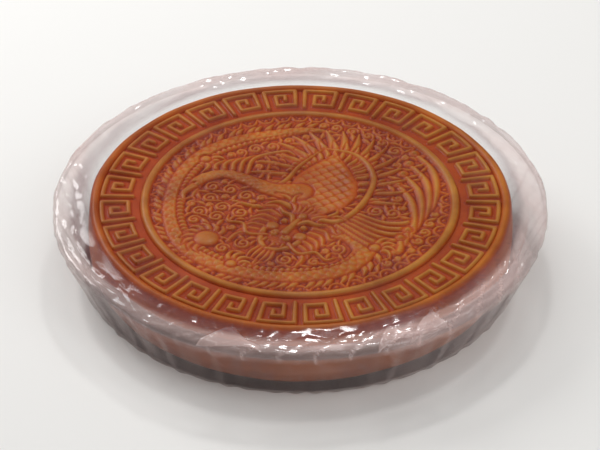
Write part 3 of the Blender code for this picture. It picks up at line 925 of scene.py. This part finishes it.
def ring_tree(material):
    """A node tree that repeats a tile round Z, welds it, makes it slightly uneven and gives it its finish."""
    tree = bpy.data.node_groups.new("Key ring", "GeometryNodeTree")
    kinds = {"Geometry": "NodeSocketGeometry", "Count": "NodeSocketInt"}
    kinds.update(dict.fromkeys(("Unevenness", "Patch size", "Weld", "Seed"), "NodeSocketFloat"))
    for name, kind in kinds.items():
        tree.interface.new_socket(name, in_out="INPUT", socket_type=kind)
    tree.interface.new_socket("Geometry", in_out="OUTPUT", socket_type="NodeSocketGeometry")
    source = add_node(tree, "NodeGroupInput").outputs
    points = add_node(tree, "GeometryNodePoints", {"Count": source["Count"]})
    index = add_node(tree, "GeometryNodeInputIndex").outputs["Index"]
    turn = calculated(tree, "MULTIPLY", index, calculated(tree, "DIVIDE", -math.tau, source["Count"]))
    axis = add_node(tree, "ShaderNodeCombineXYZ", {"Z": turn})
    copies = add_node(tree, "GeometryNodeInstanceOnPoints", {
        "Points": points.outputs["Points"],
        "Instance": source["Geometry"],
        "Rotation": axis.outputs["Vector"],
    })
    real = add_node(tree, "GeometryNodeRealizeInstances", {"Geometry": copies.outputs["Instances"]})
    weld = add_node(tree, "GeometryNodeMergeByDistance", {
        "Geometry": real.outputs["Geometry"], "Distance": source["Weld"],
    })
    noise = add_node(tree, "ShaderNodeTexNoise", noise_dimensions="4D")
    fill_sockets(tree, noise, {
        "Scale": calculated(tree, "DIVIDE", 1.0, source["Patch size"]), "W": source["Seed"],
    })
    evened = calculated(tree, "SUBTRACT", noise.outputs["Fac"], 0.5)
    lift = add_node(tree, "ShaderNodeCombineXYZ", {
        "Z": calculated(tree, "MULTIPLY", evened, source["Unevenness"]),
    })
    place = add_node(tree, "GeometryNodeSetPosition", {
        "Geometry": weld.outputs["Geometry"], "Offset": lift.outputs["Vector"],
    })
    paint = add_node(tree, "GeometryNodeSetMaterial", {
        "Geometry": place.outputs["Geometry"], "Material": material,
    })
    add_node(tree, "NodeGroupOutput", {"Geometry": paint.outputs["Geometry"]})
    return tree


def plain_result(thing):
    """An object's mesh as its modifiers leave it; they are then removed."""
    graph = bpy.context.evaluated_depsgraph_get()
    worked = thing.evaluated_get(graph)
    made = bpy.data.meshes.new_from_object(worked, preserve_all_data_layers=True, depsgraph=graph)
    thing.modifiers.clear()
    thing.data = made
    made.shade_smooth()
    return made


def run_tree(thing, tree, values):
    """Runs a node tree on an object and leaves the result as its plain mesh, with one finish."""
    modifier = thing.modifiers.new("build", "NODES")
    modifier.node_group = tree
    for item in tree.interface.items_tree:
        if item.in_out == "INPUT" and item.name in values:
            modifier[item.identifier] = values[item.name]
    bpy.context.view_layer.update()
    made = plain_result(thing)
    finish = next(material for material in made.materials if material)
    made.materials.clear()
    made.materials.append(finish)
    made.polygons.foreach_set("material_index", [0] * len(made.polygons))


# ---------------------------------------------------------------- shapes that the tray and the film share


def near_angle(angle, middle, spread):
    """A soft window on angles in radians, round a middle and with a spread that are in degrees."""
    off = (angle - math.radians(middle) + math.pi) % math.tau - math.pi
    return np.exp(-((off / math.radians(spread)) ** 2))


def flattened(radius, angle):
    """How far the outline is pushed in where the pack is a little flat."""
    return 1.8 * near_angle(angle, 222, 11) * np.clip((radius - CAKE_RADIUS - 3) / 4, 0, 1)


# ---------------------------------------------------------------- sections, outlines and wrinkles


def cake_profile():
    """The cake's section from the middle of its underside, round the rim bead, to the middle of its top."""
    low, foot, bulge = CAKE_LOW.z, 5.0, 1.2
    corner = CAKE_RADIUS - bulge
    profile = [(0, low), (corner - foot, low)]
    for i in range(1, 11):
        a = math.radians(-90 + 9 * i)
        profile.append((corner - foot + foot * math.cos(a), low + foot + foot * math.sin(a)))
    middle = low + 0.5 * (FIELD - low)
    side_steps, bead_steps = 14, 6
    for i in range(1, side_steps):
        z = low + foot + (FIELD - ROOT_DEPTH - low - foot) * i / side_steps
        share = (z - middle) / (FIELD - low) * 2
        profile.append((corner + bulge * max(0.0, 1 - share**2), z))
    for i in range(2 * bead_steps + 1):
        share = 1 - i / bead_steps
        rise = BEAD_RISE * max(0.0, math.cos(share * math.pi / 2)) ** 0.7
        profile.append((RIM_BEAD + RIM_BEAD_HALF * share, FIELD + rise))
    # Under the key band and the picture the top is sunk, so that nothing shows through them
    sunk = FIELD - 1.0
    return profile + [(BAND_OUTER - 0.5, FIELD - 0.6), (BAND_OUTER - 2, sunk), (0, sunk)]


def baked_unevenly(points):
    """The turned cake's points moved in and out a little, outside the key band."""
    angle = np.arctan2(points[:, 1], points[:, 0])
    out = np.hypot(points[:, 0], points[:, 1])
    wobble = 0.25 * np.sin(3 * angle + 1) + 0.18 * np.sin(7 * angle) + 0.1 * np.sin(19 * angle + 2)
    grow = 1 + wobble * (out > BAND_OUTER - 1) / CAKE_RADIUS - 0.5 / CAKE_RADIUS
    points[:, :2] *= grow[:, None]
    return points, out


def square_to_disc(count):
    """An even square grid's points drawn out to a disc of radius 1, as angles and radii."""
    side = np.linspace(-1, 1, count + 1)
    u, v = np.meshgrid(side, side, indexing="ij")
    reach = np.maximum(np.abs(u), np.abs(v))
    safe = np.where(reach > 0, reach, 1)
    wide = np.abs(u) >= np.abs(v)
    turn = np.where(wide, (v / safe) * np.sign(u + (u == 0)), 2 - (u / safe) * np.sign(v + (v == 0)))
    return turn * math.pi / 4 + np.where(np.where(wide, u < 0, v < 0), math.pi, 0), reach


def tray_profile():
    """The tray's section: its outer side from the middle to the lip, then its inner side back again."""
    top, lip, skin = TRAY_HIGH.z, TRAY_HIGH.z - FLANGE_LIP, TRAY_SKIN
    floor = TRAY_LOW.z + 0.45
    return [
        (0, floor), (TRAY_FOOT - 3, floor), (TRAY_FOOT - 1, floor + 0.4), (TRAY_FOOT, floor + 1.6),
        (FLANGE_INNER - 0.8, top - 2.2), (FLANGE_INNER, top - 0.9), (FLANGE_INNER + 1.2, top - skin),
        (TRAY_RADIUS - 1.2, top - skin), (TRAY_RADIUS - skin, top - 1.1), (TRAY_RADIUS - skin, lip),
        (TRAY_RADIUS, lip), (TRAY_RADIUS, top - 1.0), (TRAY_RADIUS - 0.9, top), (FLANGE_INNER + 1.0, top),
        (FLANGE_INNER - 0.4, top - 0.7), (FLANGE_INNER - 1.2, top - 2.2), (TRAY_FOOT - skin, floor + 1.7),
        (TRAY_FOOT - 1.3, floor + 0.8), (TRAY_FOOT - 3, floor + skin), (0, floor + skin),
    ]


def film_rise(radius, angle):
    """The film's wrinkles, as shares of the wrinkle height, at a radius and angles."""
    warp = 1.3 * np.sin(5 * angle + 0.09 * radius) + 0.8 * np.sin(13 * angle - 0.12 * radius)
    lumps = 0.7 * np.sin(15 * angle + 2 * warp + 0.12 * radius)
    lumps = lumps + 0.4 * np.sin(26 * angle - warp - 0.2 * radius)
    creases = np.abs(np.sin(14 * angle + 0.42 * radius + warp))
    creases = creases + np.abs(np.sin(9 * angle - 0.5 * radius + 2 * warp))
    creases = creases + 0.5 * np.abs(np.sin(41 * angle + 0.3 * radius - warp)) - 1.3
    streaks = np.sin(math.tau * (radius - 100 + 2.2 * np.sin(3 * angle)) / 3.6)
    on_flange = float(np.clip((radius - 99) / 4, 0, 1))
    over_crust = 0.3 * np.sin(0.55 * radius + 6 * np.sin(2 * angle)) * np.sin(7 * angle + 0.13 * radius)
    local = streaks * near_angle(angle, 312, 17) * 1.4 + streaks * near_angle(angle, 205, 14) * 0.7
    roll = 2.4 * math.exp(-((radius - 111.0) / 1.6) ** 2) * near_angle(angle, 277, 7)
    return over_crust * (1 - on_flange) + on_flange * (0.7 * lumps + 0.9 * creases + local + roll)


def film_haze(radius, angle):
    """How gathered the film is: patchy round the flange and thickest in a few folds and streaks, with painted
    sheen over the crust and a painted highlight along the front edge.
    """
    if radius <= RIM_BEAD:
        # Painted sheen: streaky haze over the crust stands for the film's sheen where it touches the ridges
        contact_sheen = np.sin(5 * angle + 0.07 * radius + 1) * np.sin(0.17 * radius - 3 * angle)
        outer = float(np.clip((radius - 25) / 30, 0, 1) * np.clip((RIM_BEAD - radius) / 8, 0, 1))
        return 0.2 * np.clip(contact_sheen, 0, 1) ** 3 * outer
    patchy = 1 + 0.35 * np.sin(11 * angle + 0.3 * radius) * np.sin(4 * angle + 0.08 * radius)
    folds = 1.6 * np.exp(-(np.sin(23 * angle + 0.33 * radius) / 0.13) ** 2) * near_angle(angle, 285, 60)
    # Painted highlight: extra haze along the roll at the front edge stands for its glint
    shine = 1.8 * math.exp(-((radius - 111.5) / 1.4) ** 2) * near_angle(angle, 277, 7)
    crush = 1.2 * near_angle(angle, 295, 7) + 0.7 * near_angle(angle, 320, 12)
    crush = crush + 0.5 * near_angle(angle, 93, 9)
    return patchy + folds + shine + crush


def film_rows():
    """The film's section as radius, height and haze, from the middle of the crust to under the tray."""
    over, flange = FILM_HIGH.z - 0.35, TRAY_HIGH.z
    lip, hem = flange - FLANGE_LIP, FILM_RADIUS - 0.8
    rows = [(r, over - 0.05, 1.0) for r in np.linspace(4, RIM_BEAD, 24)]
    rows += [(RIM_BEAD + 2.5, over - 0.1, 0.3), (CAKE_RADIUS + 1.5, over - 0.5, 0.8)]
    rows += [(r, flange + 0.85, 1.0) for r in np.linspace(CAKE_RADIUS + 3, TRAY_RADIUS - 1, 12)]
    rows += [(TRAY_RADIUS + 0.5, flange + 0.4, 1.0), (FILM_RADIUS - 0.7, flange - 0.6, 0.9), (hem, lip, 0.7)]
    for share in np.linspace(0.12, 1, 10):
        reach = hem - (FILM_RADIUS - 1.8 - TRAY_FOOT) * share
        rows.append((reach, lip * (1 - share) + 1.4 * share, 0.12))
    rows += [(TRAY_FOOT - 1, 0.3, 0.2)]
    return rows + [(r, 0.22, 0.2) for r in np.linspace(TRAY_FOOT - 5, 62, 9)]


def film_ring(radius, height, angle, depth):
    """One ring of the film's points: pleated below the flange and wrinkled above it."""
    if height < TRAY_HIGH.z - 1.5:
        underneath = height < 1
        pleat = np.sin(58 * angle + 2.5 * np.sin(4 * angle)) + 0.6 * np.sin(83 * angle + 1)
        side = pleat * depth * (0.12 if underneath else 0.7)
        rise = pleat * depth * (0.1 if underneath else 0.0)
    else:
        side = 0.25 * depth * np.sin(31 * angle + 2 * np.sin(3 * angle)) * (radius > TRAY_RADIUS)
        rise = film_rise(radius, angle) * depth
    side = side + 0.8 * depth * np.sin(7 * angle + 1) * np.sin(12 * angle) * (radius > CAKE_RADIUS + 6)
    ring = np.minimum(radius + side, FILM_RADIUS + 0.5) - flattened(radius, angle)
    return np.stack([ring * np.cos(angle), ring * np.sin(angle), height + rise], 1)


def thicken(piece, wall):
    """Gives a sheet its wall and leaves a plain closed mesh."""
    modifier = piece.modifiers.new("wall", "SOLIDIFY")
    modifier.thickness = wall
    modifier.offset = -1
    plain_result(piece)


def film_fold(name, outline, rise, material):
    """A small loose fold of film over the flange: a rounded three-cornered patch with its own creases."""
    left, right, tip = (np.array(p, float) for p in outline)
    steps, gathered = 16, 1.5
    points, index = [], {}
    for i in range(steps + 1):
        for j in range(steps + 1 - i):
            a, b = i / steps, j / steps
            x, y = tip * a + left * b + right * (1 - a - b)
            x += 0.7 * math.sin(7 * b + 4 * a) * (1 - a)
            y += 0.7 * math.sin(9 * a + 5 * b)
            r = math.hypot(x, y)
            drop = max(0.0, r - TRAY_RADIUS + 0.5)
            top = FILM_HIGH.z - 0.25 - 0.03 * max(0.0, r - CAKE_RADIUS) - 0.9 * drop
            index[i, j] = len(points)
            points.append((x, y, top + rise(a, b)))
    faces = []
    for i in range(steps):
        for j in range(steps - i):
            faces.append((index[i, j], index[i + 1, j], index[i, j + 1]))
            if i + j < steps - 1:
                faces.append((index[i + 1, j], index[i + 1, j + 1], index[i, j + 1]))
    piece = make_mesh(name, points, faces, material, np.full(len(points), gathered), "gathered")
    thicken(piece, FOLD_WALL)
    finish_piece(piece, "clear_film")


# ---------------------------------------------------------------- operators


class MOONCAKE_OT_body(bpy.types.Operator):
    """Makes the cake's turned body with its rim bead"""
    bl_idname = "mooncake.body"
    bl_label = "Cake body"

    def execute(self, context):
        points, faces = turned(cake_profile(), TURNED_SIDES)
        points, out = baked_unevenly(points)
        height = points[:, 2]
        # Painted highlight: the rim bead's colour lightens as it rises
        bead_highlight = 0.2 + 0.48 * np.clip((height - FIELD) / BEAD_RISE, 0, 1)
        relief_shading = np.where(height > FIELD, bead_highlight, 0.55)
        relief_shading = np.where((out < BAND_OUTER + 0.4) & (height > FIELD - 2), 0.05, relief_shading)
        piece = make_mesh("cake_body", points, faces, crust_material(), relief_shading)
        finish_piece(piece, "baked_crust", "mooncake")
        return {"FINISHED"}


class MOONCAKE_OT_keys(bpy.types.Operator):
    """Makes the band of square key spirals from one repeated tile"""
    bl_idname = "mooncake.keys"
    bl_label = "Key band"

    def execute(self, context):
        settings = context.scene.mooncake_crust
        points, faces, relief_shading = key_tile(settings.key_count)
        piece = make_mesh("key_band", points, faces, None, relief_shading)
        run_tree(piece, ring_tree(crust_material()), {
            "Count": settings.key_count,
            "Unevenness": 2 * settings.unevenness,
            "Patch size": 0.0105,
            "Weld": 0.00002,
            "Seed": 3.0,
        })
        fewest_points_a_key = 1000
        if len(piece.data.vertices) < settings.key_count * fewest_points_a_key:
            raise RuntimeError("the key band came out empty")
        finish_piece(piece, "baked_crust")
        return {"FINISHED"}


class MOONCAKE_OT_picture(bpy.types.Operator):
    """Makes the pressed picture of the dragon and the phoenix, with the inner bead"""
    bl_idname = "mooncake.picture"
    bl_label = "Picture"

    def execute(self, context):
        half, heights, relief_shading = draw_picture()
        count = 290
        angle, reach = square_to_disc(count)
        radius = BAND_INNER + 0.3
        x, y = radius * reach * np.cos(angle), radius * reach * np.sin(angle)
        z = FIELD + read_off(heights, half, x, y)
        # The measure that paints shade and highlight onto the crust, read off at each point
        tone = read_off(relief_shading, half, x, y)
        top = np.stack([x, y, z], 2).reshape(-1, 3)
        size = count + 1
        faces = []
        for i in range(count):
            for j in range(count):
                k = i * size + j
                faces.append((k, k + size, k + size + 1, k + 1))
        # Its underside: a wall down from the edge, and a fan to the middle
        edge = [i * size for i in range(count)] + [count * size + j for j in range(count)]
        edge += [i * size + count for i in range(count, 0, -1)] + list(range(count, 0, -1))
        low = top[edge].copy()
        low[:, 2] = FIELD - ROOT_DEPTH
        first = len(top)
        middle = first + len(edge)
        for i in range(len(edge)):
            j = (i + 1) % len(edge)
            faces.append((edge[j], edge[i], first + i, first + j))
            faces.append((first + j, first + i, middle))
        points = np.vstack([top, low, [(0, 0, FIELD - ROOT_DEPTH)]])
        tone = np.concatenate([tone.reshape(-1), np.zeros(len(edge) + 1)])
        piece = make_mesh("picture", points, faces, crust_material(), tone)
        finish_piece(piece, "baked_crust")
        return {"FINISHED"}


class MOONCAKE_OT_tray(bpy.types.Operator):
    """Makes the clear tray with its flange and turned-down lip"""
    bl_idname = "mooncake.tray"
    bl_label = "Tray"

    def execute(self, context):
        settings = context.scene.mooncake_pack
        points, faces = turned(tray_profile(), TURNED_SIDES)
        out = np.hypot(points[:, 0], points[:, 1])
        angle = np.arctan2(points[:, 1], points[:, 0])
        points[:, :2] *= (1 - flattened(out, angle) / np.maximum(out, 1))[:, None]
        material = clear_material(
            "pressed_clear_plastic", settings.tray_color, facing=0.01, grazing=0.4, roughness=0.16
        )
        piece = make_mesh("tray_shell", points, faces, material)
        finish_piece(piece, "clear_tray", "tray")
        return {"FINISHED"}


class MOONCAKE_OT_film(bpy.types.Operator):
    """Makes the clear film over the crust, round the flange and gathered in under the tray"""
    bl_idname = "mooncake.film"
    bl_label = "Film"

    def execute(self, context):
        settings = context.scene.mooncake_pack
        sides, depth = FILM_SIDES, settings.wrinkle / MM
        angle = math.tau * np.arange(sides) / sides
        rows = film_rows()
        rings = [film_ring(r, z, angle, depth) for r, z, haze in rows]
        gathered = [haze * film_haze(r, angle) for r, z, haze in rows]
        points = np.vstack([*rings, [(0, 0, rows[0][1])]])
        gathered = np.concatenate([*gathered, [0.0]])
        faces = []
        for k in range(len(rows) - 1):
            for i in range(sides):
                j = (i + 1) % sides
                faces.append((k * sides + i, (k + 1) * sides + i, (k + 1) * sides + j, k * sides + j))
        centre = len(rows) * sides
        faces += [(centre, i, (i + 1) % sides) for i in range(sides)]
        material = clear_material(
            "thin_clear_film", settings.film_color, facing=0.004, grazing=0.42, roughness=0.12,
            gathered=0.2, painted_shade=settings.painted_shade_color,
        )
        piece = make_mesh("film_wrap", points, faces, material, gathered, "gathered")
        thicken(piece, FILM_WALL)
        finish_piece(piece, "clear_film", "film")
        film_fold("film_flap", [(-45.5, -106.5), (-16.5, -113.5), (-30, -98)],
                  lambda a, b: 0.35 + 0.5 * a * (1 - a) + 0.25 * math.sin(9 * b), material)
        film_fold("film_crumple", [(33, -111), (52, -102), (38, -97.5)],
                  lambda a, b: 0.7 + 0.7 * math.sin(17 * b + 5 * a) * math.cos(11 * a) * (1 - a), material)
        film_fold("film_tuck", [(47, -105.5), (64, -96), (57, -86)],
                  lambda a, b: 0.45 + 0.45 * math.sin(14 * b + 3 * a), material)
        return {"FINISHED"}


class MOONCAKE_OT_stage(bpy.types.Operator):
    """Makes the pale floor, the soft lamps and the camera"""
    bl_idname = "mooncake.stage"
    bl_label = "Stage"

    def floor(self, scene):
        """A wide matt floor under the pack."""
        mesh = bpy.data.meshes.new("floor")
        half = 4
        corners = [(-half, -half, 0), (half, -half, 0), (half, half, 0), (-half, half, 0)]
        mesh.from_pydata(corners, [], [(0, 1, 2, 3)])
        material, tree = new_material("pale_floor")
        fill_sockets(tree, tree.nodes["Principled BSDF"], {
            "Base Color": (0.8, 0.79, 0.77, 1), "Roughness": 0.7,
        })
        mesh.materials.append(material)
        floor = bpy.data.objects.new("floor", mesh)
        scene.collection.objects.link(floor)

    def sky(self, scene):
        """An even white light from all round."""
        world = bpy.data.worlds.new("studio")
        world.use_nodes = True
        fill_sockets(world.node_tree, world.node_tree.nodes["Background"], {
            "Color": (1, 1, 1, 1), "Strength": 0.3,
        })
        scene.world = world

    def lamp(self, scene, name, place, width, power):
        """One square white lamp that faces the pack."""
        data = bpy.data.lights.new(name, "AREA")
        data.shape = "RECTANGLE"
        data.size = data.size_y = width
        data.energy = power
        lamp = bpy.data.objects.new(name, data)
        lamp.location = place
        lamp.rotation_euler = (-Vector(place)).to_track_quat("-Z", "Y").to_euler()
        scene.collection.objects.link(lamp)

    def camera(self, scene, settings):
        """The camera in front of the pack, looking down at its middle."""
        data = bpy.data.cameras.new("camera")
        data.lens = settings.lens
        camera = bpy.data.objects.new("camera", data)
        target = Vector((0, 0, 0.5 * FILM_HIGH.z * MM))
        back = Vector((0, -math.cos(settings.elevation), math.sin(settings.elevation)))
        camera.location = target + back * settings.distance
        camera.rotation_euler = (-back).to_track_quat("-Z", "Y").to_euler()
        scene.collection.objects.link(camera)
        scene.camera = camera

    def execute(self, context):
        scene = context.scene
        scene.view_settings.view_transform = "Standard"
        self.floor(scene)
        self.sky(scene)
        for name, place, width, power in LAMPS:
            self.lamp(scene, name, place, width, power)
        self.camera(scene, scene.mooncake_stage)
        return {"FINISHED"}


class MOONCAKE_PT_panel(bpy.types.Panel):
    """Lists the mooncake's operators"""
    bl_idname = "MOONCAKE_PT_panel"
    bl_label = "Mooncake"
    bl_space_type = "VIEW_3D"
    bl_region_type = "UI"
    bl_category = "Mooncake"

    def draw(self, context):
        for operator in OPERATORS:
            self.layout.operator(operator.bl_idname)


OPERATORS = [
    MOONCAKE_OT_body,
    MOONCAKE_OT_keys,
    MOONCAKE_OT_picture,
    MOONCAKE_OT_tray,
    MOONCAKE_OT_film,
    MOONCAKE_OT_stage,
]
SETTINGS = {"mooncake_crust": CrustSettings, "mooncake_pack": PackSettings, "mooncake_stage": StageSettings}


def register():
    """Registers the settings, the operators and the panel."""
    for name, group in SETTINGS.items():
        bpy.utils.register_class(group)
        setattr(bpy.types.Scene, name, bpy.props.PointerProperty(type=group))
    for part in [*OPERATORS, MOONCAKE_PT_panel]:
        bpy.utils.register_class(part)


def unregister():
    """Takes them all out again."""
    for part in [MOONCAKE_PT_panel, *reversed(OPERATORS)]:
        bpy.utils.unregister_class(part)
    for name, group in SETTINGS.items():
        delattr(bpy.types.Scene, name)
        bpy.utils.unregister_class(group)


def main():
    """Builds every piece in order."""
    register()
    bpy.ops.mooncake.body()
    bpy.ops.mooncake.keys()
    bpy.ops.mooncake.picture()
    bpy.ops.mooncake.tray()
    bpy.ops.mooncake.film()
    bpy.ops.mooncake.stage()


if __name__ == "__main__":
    main()
